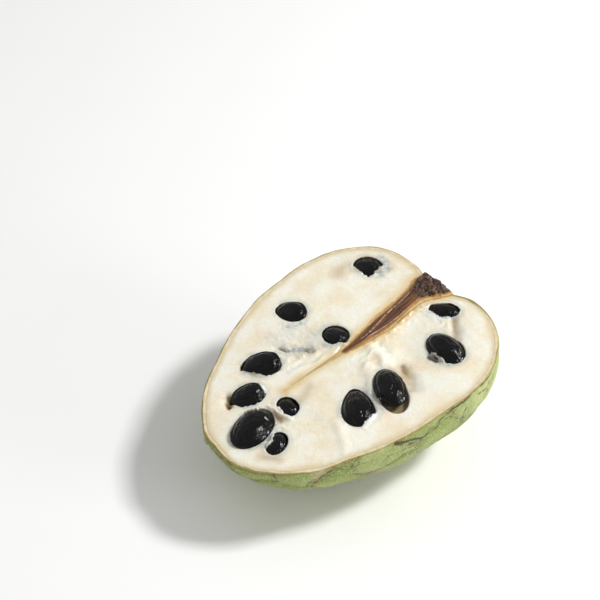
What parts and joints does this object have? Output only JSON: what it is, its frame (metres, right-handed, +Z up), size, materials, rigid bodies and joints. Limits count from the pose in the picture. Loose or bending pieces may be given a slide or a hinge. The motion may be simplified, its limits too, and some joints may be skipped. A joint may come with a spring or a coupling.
{
  "type": "halved custard apple",
  "caption": "Half of a custard apple cut lengthwise, with scaly green rind, white flesh, brown fibrous core and glossy black seeds, resting cut face up.",
  "frame": {"origin": "under the middle of the half's bounding box, on the surface that it rests on", "axes": "+Z up; +X along the core from the apex towards the stem notch; +Y across the cut face"},
  "size_m": [0.116, 0.0966, 0.0503],
  "materials": {
    "rind": "satin, sage green with pale speckle and brown scale rims",
    "flesh": "moist ivory pulp",
    "core": "dry brown fibre, orange-tan along its borders",
    "seed": "glossy black-brown, finely creased"
  },
  "bodies": {
    "root": {"rind": "rind", "flesh": "flesh", "core": "core", "seed_01": "seed", "seed_02": "seed", "seed_03": "seed", "seed_04": "seed", "seed_05": "seed", "seed_06": "seed", "seed_07": "seed", "seed_08": "seed", "seed_09": "seed", "seed_10": "seed", "seed_11": "seed", "seed_12": "seed"}
  },
  "joints": []
}
